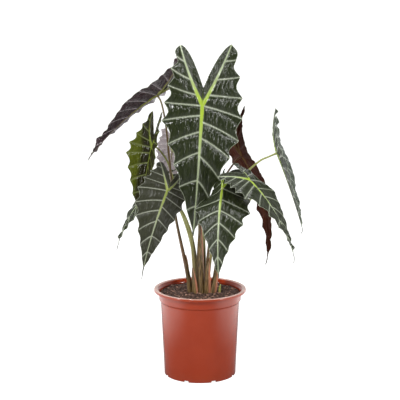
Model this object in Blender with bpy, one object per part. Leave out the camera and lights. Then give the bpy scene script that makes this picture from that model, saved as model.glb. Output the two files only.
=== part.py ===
"""Potted alocasia: ten arrow-shaped leaves on long stalks in a round plastic nursery pot.

Metres, +Z up. The origin is the centre of the pot's foot, on the surface the pot stands on.
Each leaf blade, leaf stalk, the soil, the buried rhizome and the pot is its own solid.
"""
import math

import bmesh
import bpy
from mathutils import Matrix, Vector

MM = 0.001
GAP = 0.0004                      # air between pieces that touch on the real plant

# Pot, a turned shell: radii and heights in millimetres
POT_HEIGHT = 162.0
RIM_RADIUS = 85.0
RIM_INNER_RADIUS = 79.0
LIP_HEIGHT = 5.0
COLLAR_RADIUS = 75.3
COLLAR_FOOT_Z = 141.0
STEP_DROP = 3.0
WALL_TOP_RADIUS = 72.4
FOOT_RADIUS = 66.2
WALL = 1.8
FLOOR_Z = 4.5
PAD_RADIUS = 18.0                 # middle of the floor, which stands on the table with the foot
PAD_SLOPE = 2.5
POT_STEPS = 56
DRAIN_HOLES = 8
DRAIN_HOLE_RADIUS = 4.5
DRAIN_RING_RADIUS = 50.0
NOTCH_WIDTH = 9.0
NOTCH_HEIGHT = 3.0

# Soil and rhizome, millimetres
SOIL_EDGE_Z = 153.5
SOIL_CROWN_Z = 155.0
RHIZOME_RADIUS = 27.0
RHIZOME_TOP_Z = 140.0
RHIZOME_FOOT_Z = 96.0

# Leaf blades: an outline in units of the midrib's length, tip at y = 1, stalk at (0, 0).
# The two halves carry their side veins and teeth at different heights, as the plant does.
BLADE_THICKNESS = 0.8
LOBE_SINUS = -0.14
LOBE_INNER = ((0.125, -0.455), (0.055, -0.29))
LOBE_BOW = 0.05
LOBE_ROUND = 0.10
TOOTH_DIP = 0.14
EARLY, LATE = 0, 1
VEIN_ROOTS = (
    (-1, -0.72, -0.42, -0.17, 0, 0.075, 0.20, 0.36, 0.58, 0.785, 1),
    (-1, -0.72, -0.42, -0.17, 0, 0.125, 0.25, 0.39, 0.58, 0.785, 1),
)
TEETH = (
    ((0.190, -0.465), (0.215, -0.375), (0.250, -0.280), (0.265, -0.145), (0.285, -0.010),
     (0.295, 0.130), (0.240, 0.310), (0.187, 0.470), (0.135, 0.640), (0.065, 0.820), (0, 1)),
    ((0.195, -0.490), (0.238, -0.370), (0.280, -0.240), (0.310, -0.075), (0.317, 0.085),
     (0.295, 0.260), (0.235, 0.400), (0.165, 0.565), (0.100, 0.720), (0.045, 0.870), (0, 1)),
)
COLUMNS = (-1, -0.86, -0.72, -0.57, -0.42, -0.29, -0.17, -0.08, 0, 0.075, 0.125, 0.20, 0.25,
           0.305, 0.36, 0.39, 0.48, 0.58, 0.68, 0.785, 0.89, 1)
ROWS = 2

# Leaf stalks: radius from the foot to the blade, millimetres
STALK_FOOT_RADIUS = 4.1
STALK_MIDDLE_RADIUS = 2.4
STALK_TOP_RADIUS = 1.5
STALK_FOOT_Z = 140.6
SOCKET_DEPTH = 2.0                # the soil's sockets reach this far into the rhizome's hollow
STALK_POINTS = 16
STALK_REACH = 14.0                # straight stretch behind the blade

# Ten leaves. Places are millimetres, angles are degrees:
#   base     where the stalk leaves the soil        joint, tip  the two ends of the midrib
#   face     where the upper side looks             route  places the stalk passes on its way
#   bow, sway  bulge of the midrib towards the upper side and to the side
#   fold     rise of the two halves from the midrib, hood  more of it near the stalk
#   lobe     how far the two back lobes bend behind the blade, turn  their twist
#   twist    twist of the front part, width, spread and back  factors on the outline
LEAVES = (
    dict(base=(2, -9), joint=(4, -45, 504), tip=(-12, -48, 276), face=(0.15, -1.0, 0.05),
         bow=5, fold=-4, hood=-4, lobe=8, turn=-8, width=1.04,
         route=((1, -7, 200), (-1, 2, 280), (0, 8, 360), (2, 2, 440), (3, -14, 488))),
    dict(base=(13, -12), joint=(38, -109, 368), tip=(32, -124, 217), face=(-0.40, -1.0, 0.2),
         bow=10, fold=-14, hood=-40, lobe=60, width=1.2, halves=(LATE, LATE),
         route=((15, -18, 190), (23, -34, 250), (36, -56, 315))),
    dict(base=(24, -11), joint=(86, -120, 384), tip=(161, -147, 259), face=(0.75, -0.5, 0.55),
         bow=8, sway=-4, hood=-18, lobe=30, twist=15, width=1.0, spread=1.2, back=0.7,
         route=((30, -14, 190), (40, -24, 230), (57, -38, 280), (78, -52, 320), (94, -80, 356))),
    dict(base=(23, 3), joint=(138, -20, 416), tip=(181, -75, 290), face=(1.0, -0.14, 0.3),
         bow=2, fold=15, lobe=-29, turn=10, width=1.0, spread=1.1, back=1.15,
         route=((28, 2, 190), (38, 0, 260), (54, -4, 325), (78, -10, 372), (106, -15, 400))),
    dict(base=(12, 5), joint=(78, 50, 400), tip=(127, 55, 204), face=(0.92, 0.35, 0.25),
         bow=18, fold=-4, lobe=-60,
         route=((13, 8, 200), (22, 18, 280), (36, 32, 345))),
    dict(base=(-18, -4), joint=(-78, 30, 515), tip=(-204, 40, 399), face=(-0.62, 0.36, 0.63),
         bow=8, fold=9, lobe=-28,
         route=((-26, -2, 204), (-46, 6, 302), (-55, 14, 389), (-62, 20, 460))),
    dict(base=(-7, 1), joint=(-88, 23, 420), tip=(-110, 28, 282), face=(-0.60, -0.80, 0.1),
         bow=4, fold=40, lobe=2, width=1.08, spread=0.5,
         route=((-8, 3, 211), (-18, 4, 269), (-37, 12, 309), (-50, 30, 360), (-60, 36, 392))),
    dict(base=(-9, -12), joint=(-58, -52, 353), tip=(-101, -66, 215), face=(0.37, -0.93, 0.17),
         bow=8, sway=6, fold=-18, lobe=50, width=1.12, spread=0.75, back=0.85, halves=(LATE, EARLY),
         route=((-12, -14, 214), (-19, -15, 274), (-36, -22, 316))),
    dict(base=(-8, 12), joint=(-84, 55, 345), tip=(-154, 50, 233), face=(-0.75, -0.35, 0.55),
         bow=10, fold=-10, lobe=30, width=0.8,
         route=((-9, 15, 200), (-22, 32, 260), (-45, 52, 312))),
    dict(base=(5, 15), joint=(-52, 95, 411), tip=(-59, 101, 325), face=(-0.10, 0.95, 0.15),
         bow=6, fold=-8, lobe=10, width=1.15,
         route=((8, 20, 210), (3, 36, 300), (-16, 62, 374))),
)

# Dry papery leaf sheaths that wrap two of the stalks, and a new shoot
SHEATHS = (
    dict(leaf=1, start=0.02, end=0.17, wrap=200, turn=-150),
    dict(leaf=3, start=0.02, end=0.13, wrap=190, turn=-60),
)
SHEATH_THICKNESS = 0.6
SHOOT_PLACE = (36.0, -8.0)
SHOOT_TOP_Z = 170.0
SHOOT_RADIUS = 3.0


def clear_scene():
    for obj in list(bpy.data.objects):
        bpy.data.objects.remove(obj, do_unlink=True)


def material(name, colour, roughness):
    mat = bpy.data.materials.new(name)
    mat.use_nodes = True
    shader = mat.node_tree.nodes["Principled BSDF"]
    shader.inputs["Base Color"].default_value = (*colour, 1.0)
    shader.inputs["Roughness"].default_value = roughness
    shader.inputs["Metallic"].default_value = 0.0
    return mat


def add_object(name, data, mat):
    obj = bpy.data.objects.new(name, data)
    bpy.context.scene.collection.objects.link(obj)
    data.materials.append(mat)
    return obj


def mesh_object(name, bm, mat):
    bm.normal_update()
    mesh = bpy.data.meshes.new(name)
    bm.to_mesh(mesh)
    bm.free()
    return add_object(name, mesh, mat)


def cutter_object(name, bm):
    obj = mesh_object(name, bm, material(name, (0.5, 0.5, 0.5), 0.5))
    obj.hide_render = True
    obj.display_type = "WIRE"
    return obj


def cut(obj, cutter):
    boolean = obj.modifiers.new("cut by " + cutter.name, "BOOLEAN")
    boolean.operation = "DIFFERENCE"
    boolean.object = cutter


def mix(a, b, t):
    return a + (b - a) * t


def smooth_step(t):
    t = min(1.0, max(0.0, t))
    return t * t * (3.0 - 2.0 * t)


# ---- turned pieces -------------------------------------------------------------------------

def turned(profile, steps):
    """A closed solid turned about Z from (radius, height) points in millimetres."""
    bm = bmesh.new()
    verts = [bm.verts.new((r * MM, 0, z * MM)) for r, z in profile]
    for a, b in zip(verts, verts[1:] + verts[:1]):
        bm.edges.new((a, b))
    bmesh.ops.spin(bm, geom=bm.verts[:] + bm.edges[:], cent=(0, 0, 0), axis=(0, 0, 1),
                   angle=math.tau, steps=steps, use_merge=True)
    bmesh.ops.remove_doubles(bm, verts=bm.verts, dist=0.00001)
    bmesh.ops.dissolve_degenerate(bm, edges=bm.edges, dist=0.00001)
    bmesh.ops.recalc_face_normals(bm, faces=bm.faces)
    return bm


def pot_inner_radius(z):
    """Inside radius of the pot at height z, millimetres."""
    if z > COLLAR_FOOT_Z:
        return COLLAR_RADIUS - WALL
    wall_top = COLLAR_FOOT_Z - STEP_DROP
    if z > wall_top:
        return mix(WALL_TOP_RADIUS, COLLAR_RADIUS, (z - wall_top) / STEP_DROP) - WALL
    return mix(FOOT_RADIUS, WALL_TOP_RADIUS, z / wall_top) - WALL


def pot_profile():
    lip_foot = POT_HEIGHT - LIP_HEIGHT
    wall_top = COLLAR_FOOT_Z - STEP_DROP
    floor_top = FLOOR_Z + WALL
    return [
        (0, 0), (PAD_RADIUS, 0), (PAD_RADIUS + PAD_SLOPE, FLOOR_Z),
        (FOOT_RADIUS - 2.6 * WALL, FLOOR_Z), (FOOT_RADIUS - 1.7 * WALL, 0),
        (FOOT_RADIUS - 0.6, 0), (FOOT_RADIUS, 0.8),
        (WALL_TOP_RADIUS, wall_top), (COLLAR_RADIUS - 0.5, COLLAR_FOOT_Z - 0.6),
        (COLLAR_RADIUS, COLLAR_FOOT_Z + 1.0), (COLLAR_RADIUS + 0.3, lip_foot - 1.5),
        (COLLAR_RADIUS + 1.6, lip_foot), (RIM_RADIUS - 0.5, lip_foot),
        (RIM_RADIUS, lip_foot + 0.8), (RIM_RADIUS, POT_HEIGHT - 1.2),
        (RIM_RADIUS - 1.2, POT_HEIGHT), (RIM_INNER_RADIUS, POT_HEIGHT - 0.2),
        (RIM_INNER_RADIUS - 2.5, POT_HEIGHT - 2.0), (COLLAR_RADIUS - WALL, lip_foot - 0.5),
        (pot_inner_radius(COLLAR_FOOT_Z), COLLAR_FOOT_Z),
        (pot_inner_radius(wall_top), wall_top - 0.8),
        (pot_inner_radius(floor_top) + 0.1, floor_top),
        (PAD_RADIUS + PAD_SLOPE - 0.7, floor_top), (PAD_RADIUS - 0.7, WALL), (0, WALL),
    ]


def make_pot():
    pot = mesh_object("pot", turned(pot_profile(), POT_STEPS),
                      material("pot plastic", (0.33, 0.06, 0.03), 0.35))
    bm = bmesh.new()
    for k in range(DRAIN_HOLES):
        angle = math.tau * (k + 0.5) / DRAIN_HOLES
        outwards = Vector((math.cos(angle), math.sin(angle), 0))
        hole = bmesh.ops.create_cone(bm, cap_ends=True, segments=12, radius1=DRAIN_HOLE_RADIUS * MM,
                                     radius2=DRAIN_HOLE_RADIUS * MM, depth=0.02)["verts"]
        bmesh.ops.translate(bm, verts=hole,
                            vec=outwards * DRAIN_RING_RADIUS * MM + Vector((0, 0, FLOOR_Z * MM)))
        notch = bmesh.ops.create_cube(bm, size=1.0)["verts"]
        bmesh.ops.scale(bm, verts=notch, vec=(8 * WALL * MM, NOTCH_WIDTH * MM, 2 * NOTCH_HEIGHT * MM))
        bmesh.ops.translate(bm, verts=notch, vec=((FOOT_RADIUS - 1.0) * MM, 0, 0))
        bmesh.ops.rotate(bm, verts=notch, cent=(0, 0, 0), matrix=rotation_z(angle))
    cut(pot, cutter_object("pot_drain_cutter", bm))


def rotation_z(angle):
    return Matrix.Rotation(angle, 3, "Z")


def rhizome_profile(extra):
    """Half outline of the buried rhizome, grown by extra millimetres."""
    height = RHIZOME_TOP_Z - RHIZOME_FOOT_Z
    points = [(0, RHIZOME_FOOT_Z - extra)]
    for k in range(1, 7):
        angle = math.pi / 2 * k / 6
        points.append((RHIZOME_RADIUS * math.sin(angle) + extra * k / 6,
                       RHIZOME_TOP_Z - 10 - (height - 10) * math.cos(angle) - extra))
    points.append((RHIZOME_RADIUS + extra, RHIZOME_TOP_Z - 2))
    points.append((RHIZOME_RADIUS - 2 + extra, RHIZOME_TOP_Z + extra))
    points.append((0, RHIZOME_TOP_Z + extra))
    return points


def make_rhizome():
    mesh_object("rhizome", turned(rhizome_profile(0.0), 24),
                material("rhizome skin", (0.16, 0.08, 0.05), 0.8))


def soil_profile():
    gap = GAP / MM
    floor = FLOOR_Z + WALL + gap
    wall_top = COLLAR_FOOT_Z - STEP_DROP
    return [
        (0, floor), (pot_inner_radius(floor) - gap, floor),
        (pot_inner_radius(wall_top) - gap - 0.4, wall_top - 1.2),
        (pot_inner_radius(COLLAR_FOOT_Z) - gap, COLLAR_FOOT_Z + 0.6),
        (pot_inner_radius(SOIL_EDGE_Z) - gap, SOIL_EDGE_Z),
        (45, SOIL_EDGE_Z + 0.8), (0, SOIL_CROWN_Z),
    ]


def make_soil(stalks):
    soil = mesh_object("soil", turned(soil_profile(), 48),
                       material("potting soil", (0.035, 0.022, 0.015), 0.95))
    cut(soil, cutter_object("rhizome_cutter", turned(rhizome_profile(GAP / MM), 24)))
    for number, points in enumerate(stalks, 1):
        foot = (points[0][0] - Vector((0, 0, SOCKET_DEPTH)) * MM, points[0][1])
        socket = stalk_curve("stalk_cutter_%02d" % number, [foot] + points[1:5], GAP * 1.4)
        socket.hide_render = True
        socket.display_type = "WIRE"
        cut(soil, as_mesh(socket))


def as_mesh(curve_object):
    """Replace a curve object by a mesh object of the same shape, for use as a cutter."""
    graph = bpy.context.evaluated_depsgraph_get()
    mesh = bpy.data.meshes.new_from_object(curve_object.evaluated_get(graph))
    bm = bmesh.new()
    bm.from_mesh(mesh)
    bmesh.ops.remove_doubles(bm, verts=bm.verts, dist=0.00001)
    name = curve_object.name
    bpy.data.objects.remove(curve_object, do_unlink=True)
    return cutter_object(name, bm)


# ---- leaf blades ---------------------------------------------------------------------------

def vein_index(r, half):
    """Which side vein starts at rib position r, as a number that runs from 0 to 10."""
    roots = VEIN_ROOTS[half]
    for k in range(10):
        if r <= roots[k + 1]:
            return k + (r - roots[k]) / (roots[k + 1] - roots[k])
    return 10.0


def rib_point(r, half):
    """Point on the ribs: from the back lobe's tip (r = -1) over the stalk to the leaf tip."""
    if r >= 0:
        return 0.0, r
    lobe = TEETH[half][0]
    return -r * lobe[0] - LOBE_BOW * r * (1 + r), -r * lobe[1]


def margin_point(q, half):
    """Point on the toothed outer margin at vein index q."""
    k = min(int(q), 9)
    f = q - k
    (x0, y0), (x1, y1) = TEETH[half][k], TEETH[half][k + 1]
    depth = {0: -LOBE_ROUND, 9: 0.0}.get(k, TOOTH_DIP)
    return mix(x0, x1, f) * (1 - depth * math.sin(math.pi * f)), mix(y0, y1, f)


def inner_margin_point(r, half):
    """Point on the margin between the back lobes: lobe tip (r = -1) to the sinus (r = 0)."""
    t = 1.0 + r
    tip = Vector(TEETH[half][0])
    high, low = Vector(LOBE_INNER[0]), Vector(LOBE_INNER[1])
    gap = Vector((0, LOBE_SINUS))
    point = tip * (1 - t) ** 3 + high * 3 * t * (1 - t) ** 2 + low * 3 * t * t * (1 - t) + gap * t ** 3
    return point.x, point.y


class Pose:
    """Carries the flat outline to its place in the plant."""

    def __init__(self, leaf):
        self.joint = Vector(leaf["joint"]) * MM
        chord = Vector(leaf["tip"]) * MM - self.joint
        self.length = chord.length
        self.ahead = chord.normalized()
        face = Vector(leaf["face"])
        self.up = (face - self.ahead * face.dot(self.ahead)).normalized()
        self.side = self.ahead.cross(self.up)
        self.bow = leaf.get("bow", 0) * MM
        self.sway = leaf.get("sway", 0) * MM
        self.fold = math.radians(leaf.get("fold", 0))
        self.hood = math.radians(leaf.get("hood", 0))
        self.lobe = math.radians(leaf.get("lobe", 0))
        self.turn = math.radians(leaf.get("turn", 0))
        self.twist = math.radians(leaf.get("twist", 0))
        self.width = leaf.get("width", 1.0)
        self.spread = leaf.get("spread", 1.0)
        self.back = leaf.get("back", 1.0)
        self.halves = leaf.get("halves", (EARLY, LATE))

    def frame(self, y):
        """Midrib point and the side and upper directions at outline height y."""
        k = max(y, 0.0)
        arch = 4 * k * (1 - k)
        point = self.joint + self.ahead * self.length * k + self.up * self.bow * arch
        point = point + self.side * self.sway * arch
        slope = 4 * (1 - 2 * k)
        along = self.ahead * self.length + self.up * self.bow * slope + self.side * self.sway * slope
        along.normalize()
        up = (self.up - along * self.up.dot(along)).normalized()
        side = along.cross(up)
        roll = self.twist * y if y > 0 else self.turn * -y / 0.47
        side, up = (side * math.cos(roll) + up * math.sin(roll),
                    up * math.cos(roll) - side * math.sin(roll))
        if y < 0:
            bend = self.lobe * -y / 0.47
            back = -y * self.length * self.back
            point = point - along * back * math.cos(bend / 2) - up * back * math.sin(bend / 2)
            up = up * math.cos(bend) - along * math.sin(bend)
        return point, side, up

    def place(self, x, y):
        """The plant's point for outline point (x, y)."""
        point, side, up = self.frame(y)
        lobe_part = min(1.0, max(0.0, -y / 0.47))
        reach = abs(x) * self.length * self.width * mix(1.0, self.spread, lobe_part)
        angle = self.fold + self.hood * smooth_step((0.28 - y) / 0.28)
        sign = 1 if x > 0 else -1
        return point + side * sign * reach * math.cos(angle) + up * reach * math.sin(angle)


def add_patch(bm, pose, sign, columns, rows, outer):
    """One patch of the blade, between the ribs and a margin, made from a grid."""
    half = pose.halves[0] if sign > 0 else pose.halves[1]
    before = set(bm.faces)
    verts = bmesh.ops.create_grid(bm, x_segments=len(columns) - 1, y_segments=rows, size=0.5)["verts"]
    for vert in verts:
        r = columns[round((vert.co.x + 0.5) * (len(columns) - 1))]
        t = vert.co.y + 0.5
        rib = rib_point(r, half)
        edge = margin_point(vein_index(r, half), half) if outer else inner_margin_point(r, half)
        vert.co = pose.place(sign * mix(rib[0], edge[0], t), mix(rib[1], edge[1], t))
    faces = [f for f in bm.faces if f not in before]
    if (sign > 0) == outer:
        bmesh.ops.reverse_faces(bm, faces=faces)


def make_blade(name, leaf, mat):
    pose = Pose(leaf)
    bm = bmesh.new()
    back = [r for r in COLUMNS if r <= 0]
    for sign in (1, -1):
        add_patch(bm, pose, sign, COLUMNS, ROWS, True)
        add_patch(bm, pose, sign, back, 1, False)
    bmesh.ops.remove_doubles(bm, verts=bm.verts, dist=0.00005)
    bmesh.ops.dissolve_degenerate(bm, edges=bm.edges, dist=0.00001)
    blade = mesh_object(name, bm, mat)
    skin = blade.modifiers.new("thickness", "SOLIDIFY")
    skin.thickness = BLADE_THICKNESS * MM
    skin.offset = -1.0


# ---- leaf stalks ---------------------------------------------------------------------------

def smooth_route(knots, count):
    """Evenly spread points on a smooth curve through the knots."""
    padded = [knots[0] * 2 - knots[1]] + knots + [knots[-1] * 2 - knots[-2]]
    dense = []
    for a, b, c, d in zip(padded, padded[1:], padded[2:], padded[3:]):
        for k in range(20):
            t = k / 20
            dense.append(0.5 * (2 * b + (c - a) * t + (2 * a - 5 * b + 4 * c - d) * t * t
                                + (3 * b - a - 3 * c + d) * t * t * t))
    dense.append(knots[-1])
    run = [0.0]
    for a, b in zip(dense, dense[1:]):
        run.append(run[-1] + (b - a).length)
    points = []
    k = 0
    for n in range(count):
        goal = run[-1] * n / (count - 1)
        while k < len(run) - 2 and run[k + 1] < goal:
            k += 1
        points.append(dense[k].lerp(dense[k + 1], (goal - run[k]) / (run[k + 1] - run[k])))
    return points


def stalk_radius(s):
    """Stalk radius in millimetres at share s of its length."""
    if s < 0.45:
        return mix(STALK_FOOT_RADIUS, STALK_MIDDLE_RADIUS, smooth_step(s / 0.45))
    return mix(STALK_MIDDLE_RADIUS, STALK_TOP_RADIUS, (s - 0.45) / 0.55)


def stalk_points(leaf):
    """(place, radius) along one stalk, from the rhizome to just behind the blade."""
    pose = Pose(leaf)
    up = pose.frame(0.0)[2]
    hollow = -min(0.0, pose.fold + pose.hood)
    clear = (BLADE_THICKNESS / math.cos(hollow) + STALK_TOP_RADIUS * math.tan(hollow)) * MM + 2 * GAP
    x, y = leaf["base"]
    knots = [Vector((x, y, STALK_FOOT_Z)) * MM, Vector((x, y, STALK_FOOT_Z + 16)) * MM]
    knots += [Vector(place) * MM for place in leaf["route"]]
    knots += [pose.joint - up * (clear + STALK_REACH * MM), pose.joint - up * clear]
    places = smooth_route(knots, STALK_POINTS)
    return [(p, stalk_radius(n / (STALK_POINTS - 1)) * MM) for n, p in enumerate(places)]


def stalk_curve(name, points, extra=0.0):
    curve = bpy.data.curves.new(name, "CURVE")
    curve.dimensions = "3D"
    curve.bevel_depth = STALK_FOOT_RADIUS * MM
    curve.bevel_resolution = 2
    curve.use_fill_caps = True
    spline = curve.splines.new("POLY")
    spline.points.add(len(points) - 1)
    for point, (place, radius) in zip(spline.points, points):
        point.co = (*place, 1.0)
        point.radius = (radius + extra) / (STALK_FOOT_RADIUS * MM)
    return add_object(name, curve, stalk_material())


def stalk_material():
    return bpy.data.materials.get("leaf stalk") or material("leaf stalk", (0.16, 0.17, 0.05), 0.45)


# ---- sheaths and shoot ---------------------------------------------------------------------

def make_sheath(number, sheath, points):
    """A thin half tube round the foot of a stalk, drawn out to a point."""
    bm = bmesh.new()
    verts = bmesh.ops.create_grid(bm, x_segments=6, y_segments=6, size=0.5)["verts"]
    last = len(points) - 1
    for vert in verts:
        rise = vert.co.y + 0.5
        s = mix(sheath["start"], sheath["end"], rise) * last + 1.2
        k = min(int(s), last - 1)
        place = points[k][0].lerp(points[k + 1][0], s - k)
        radius = points[k][1] + (SHEATH_THICKNESS + 0.5 + 1.5 * rise) * MM
        wrap = math.radians(sheath["wrap"]) * (1 - 0.85 * rise ** 2)
        angle = math.radians(sheath["turn"]) + wrap * vert.co.x
        vert.co = place + Vector((math.cos(angle), math.sin(angle), 0)) * radius
    if sum(((f.calc_center_median() - points[2][0]).xy.dot(f.normal.xy)) for f in bm.faces) < 0:
        bmesh.ops.reverse_faces(bm, faces=bm.faces)
    bm.normal_update()
    obj = mesh_object("sheath_%d" % number, bm, material("dry sheath", (0.42, 0.16, 0.09), 0.7))
    skin = obj.modifiers.new("thickness", "SOLIDIFY")
    skin.thickness = SHEATH_THICKNESS * MM
    skin.offset = -1.0


def make_shoot():
    low = SOIL_CROWN_Z + 0.2
    height = SHOOT_TOP_Z - low
    profile = [(0, low)]
    for k in range(5):
        t = k / 5
        profile.append((SHOOT_RADIUS * math.cos(t * math.pi / 2) ** 0.7, low + height * t))
    profile.append((0, SHOOT_TOP_Z))
    bm = turned(profile, 12)
    bmesh.ops.translate(bm, verts=bm.verts, vec=Vector((*SHOOT_PLACE, 0)) * MM)
    mesh_object("new_shoot", bm, material("new shoot", (0.35, 0.42, 0.10), 0.45))


def main():
    clear_scene()
    make_pot()
    make_rhizome()
    blade_material = material("leaf blade", (0.03, 0.05, 0.025), 0.35)
    stalks = []
    for number, leaf in enumerate(LEAVES, 1):
        make_blade("leaf_%02d_blade" % number, leaf, blade_material)
        points = stalk_points(leaf)
        stalk_curve("leaf_%02d_stalk" % number, points)
        stalks.append(points)
    make_soil(stalks)
    for number, sheath in enumerate(SHEATHS, 1):
        make_sheath(number, sheath, stalks[sheath["leaf"] - 1])
    make_shoot()


main()
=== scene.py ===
# %% [markdown]
# # A potted alocasia
# An alocasia grows large arrow-shaped leaves, each on its own long stalk that rises from a thick root
# under the soil. This lesson takes the imported frame of such a plant and grows its visible surfaces
# round it: a glossy pot, crumbly soil, wrinkled leaves with pale veins, tapering stalks and papery
# sheaths. The frame's solids fix every size and place, so the first step is to load them.

# %% Load the fixed frame
import math
import random

import bmesh
import bpy
from mathutils import Matrix, Vector, noise


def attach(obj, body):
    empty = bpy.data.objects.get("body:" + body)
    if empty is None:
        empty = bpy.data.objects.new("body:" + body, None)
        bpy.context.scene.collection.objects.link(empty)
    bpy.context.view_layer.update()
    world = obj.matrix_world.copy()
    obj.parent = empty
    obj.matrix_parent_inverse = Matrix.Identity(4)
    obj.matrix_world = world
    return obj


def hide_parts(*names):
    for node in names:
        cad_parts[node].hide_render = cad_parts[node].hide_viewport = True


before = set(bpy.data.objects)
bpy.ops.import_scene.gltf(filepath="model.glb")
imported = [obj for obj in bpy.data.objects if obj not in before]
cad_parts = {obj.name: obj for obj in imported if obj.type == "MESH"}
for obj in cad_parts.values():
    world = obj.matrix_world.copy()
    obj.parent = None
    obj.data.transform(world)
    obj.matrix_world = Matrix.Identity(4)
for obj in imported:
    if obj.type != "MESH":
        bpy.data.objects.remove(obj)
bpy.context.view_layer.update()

MM = 0.001
print("frame nodes:", len(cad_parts))

# %% [markdown]
# ## Camera, floor and light
# The plant stands on a pale floor in a bright studio. A long lens from a little above the leaves keeps
# the pot's rim a flat ellipse. Two small lamps high in front and a tall narrow one at each side draw
# glints on every crease of the leaves, and one above lights the soil. The backdrop looks white to the
# camera, but it lights the plant mostly from behind, so that edges shine, thin leaves glow and dark
# leaves stay dark.

# %% The camera
CAMERA_PLACE = (0, -2.2, 0.737)
CAMERA_DROP = 10.56               # degrees that it looks down
LENS = 110.5
camera = bpy.data.objects.new("camera", bpy.data.cameras.new("camera"))
bpy.context.scene.collection.objects.link(camera)
camera.location = CAMERA_PLACE
camera.rotation_euler = (math.radians(90 - CAMERA_DROP), 0, 0)
camera.data.sensor_width = 36
camera.data.lens = LENS
bpy.context.scene.camera = camera
bpy.context.scene.view_settings.view_transform = "Standard"
print("camera looks at the plant from", CAMERA_PLACE)

# %% The lamps
def add_lamp(name, place, width, height, power, aim=(0, 0, 0.33)):
    """A flat lamp that shines at the middle of the plant."""
    lamp = bpy.data.lights.new(name, "AREA")
    lamp.shape = "RECTANGLE"
    lamp.size = width
    lamp.size_y = height
    lamp.energy = power
    holder = bpy.data.objects.new(name, lamp)
    holder.location = place
    holder.rotation_euler = (Vector(aim) - Vector(place)).to_track_quat("-Z", "Y").to_euler()
    bpy.context.scene.collection.objects.link(holder)
    print(f"{name}: {width} x {height} m, {power} W")


add_lamp("key_lamp", (-0.7, -1.7, 1.6), 0.3, 0.3, 20)
add_lamp("fill_lamp", (1.3, -1.6, 1.5), 0.3, 0.3, 9)
add_lamp("top_lamp", (0.1, 0.5, 2.2), 0.6, 0.6, 14)
add_lamp("left_lamp", (-1.5, -1.1, 0.6), 0.16, 1.1, 18)
add_lamp("right_lamp", (1.5, -1.1, 0.6), 0.16, 1.1, 14)

# %% The bright surroundings
FRONT_STRENGTH = 0.10
BACK_STRENGTH = 0.95
FADE_FROM, FADE_TO = -0.5, 0.8    # where the fade starts and ends, on the heading's y
world = bpy.data.worlds.new("studio")
world.use_nodes = True
tree = world.node_tree
backdrop = tree.nodes["Background"]
backdrop.inputs["Color"].default_value = (1.0, 1.0, 1.0, 1.0)
heading = tree.nodes.new("ShaderNodeTexCoord")
parts = tree.nodes.new("ShaderNodeSeparateXYZ")
depth_way = tree.nodes.new("ShaderNodeMapRange")
for key, value in (("From Min", FADE_FROM), ("From Max", FADE_TO),
                   ("To Min", FRONT_STRENGTH), ("To Max", BACK_STRENGTH)):
    depth_way.inputs[key].default_value = value
ray = tree.nodes.new("ShaderNodeLightPath")
level = tree.nodes.new("ShaderNodeMix")
level.inputs["B"].default_value = 1.0
tree.links.new(heading.outputs["Generated"], parts.inputs["Vector"])
tree.links.new(parts.outputs["Y"], depth_way.inputs["Value"])
tree.links.new(depth_way.outputs["Result"], level.inputs["A"])
tree.links.new(ray.outputs["Is Camera Ray"], level.inputs["Factor"])
tree.links.new(level.outputs["Result"], backdrop.inputs["Strength"])
bpy.context.scene.world = world
print("studio light:", FRONT_STRENGTH, "from the front to", BACK_STRENGTH, "from behind")

# %% [markdown]
# ## Writing materials with few words
# A material is a small graph of nodes. Adding and linking nodes takes several lines each time, so a
# helper class keeps one tree and gives each step a short call. Anything given as an input may be a
# number, a colour or another node's output.

# %% A helper for node trees
class Nodes:
    """Adds linked nodes to one node tree."""

    def __init__(self, tree):
        self.tree = tree

    def fill(self, node, inputs):
        """Links each input that is another node's output, and sets the others on the socket itself."""
        for key, value in inputs.items():
            if isinstance(value, bpy.types.NodeSocket):
                self.tree.links.new(value, node.inputs[key])
            else:
                node.inputs[key].default_value = value

    def add(self, kind, inputs=None, **settings):
        node = self.tree.nodes.new(kind)
        for key, value in settings.items():
            setattr(node, key, value)
        self.fill(node, inputs or {})
        return node

    def math(self, operation, a, b=0.0):
        return self.add("ShaderNodeMath", {0: a, 1: b}, operation=operation).outputs[0]

    def remap(self, value, low, high, start=0.0, end=1.0):
        """Takes value from low..high to start..end on a smooth curve, and holds it at the ends."""
        inputs = {"Value": value, "From Min": low, "From Max": high, "To Min": start, "To Max": end}
        return self.add("ShaderNodeMapRange", inputs, interpolation_type="SMOOTHSTEP").outputs[0]

    def blend(self, share, first, second):
        """Mixes two colours."""
        first, second = [c if isinstance(c, bpy.types.NodeSocket) else (*c, 1.0) for c in (first, second)]
        return self.add("ShaderNodeMix", {0: share, 6: first, 7: second}, data_type="RGBA").outputs[2]

    def stretch(self, vector, scale):
        """Scales a pattern's coordinates on each axis."""
        return self.add("ShaderNodeVectorMath", {0: vector, 1: scale}, operation="MULTIPLY").outputs[0]

    def noise(self, vector, scale, detail=3.0, roughness=0.55, distortion=0.0):
        inputs = {"Vector": vector, "Scale": scale, "Detail": detail, "Roughness": roughness,
                  "Distortion": distortion}
        return self.add("ShaderNodeTexNoise", inputs).outputs["Fac"]

    def attribute(self, name):
        return self.add("ShaderNodeAttribute", attribute_name=name).outputs["Vector"]

    def split(self, vector):
        return self.add("ShaderNodeSeparateXYZ", {0: vector}).outputs

    def place(self):
        return self.add("ShaderNodeTexCoord").outputs["Object"]

    def group(self, tree, inputs):
        return self.add("ShaderNodeGroup", inputs, node_tree=tree).outputs

    def bump(self, height, strength, distance):
        inputs = {"Height": height, "Strength": strength, "Distance": distance}
        return self.add("ShaderNodeBump", inputs).outputs["Normal"]


def new_material(name):
    """A material with its Principled shader, ready for more nodes."""
    mat = bpy.data.materials.new(name)
    mat.use_nodes = True
    return mat, Nodes(mat.node_tree), mat.node_tree.nodes["Principled BSDF"]


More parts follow.
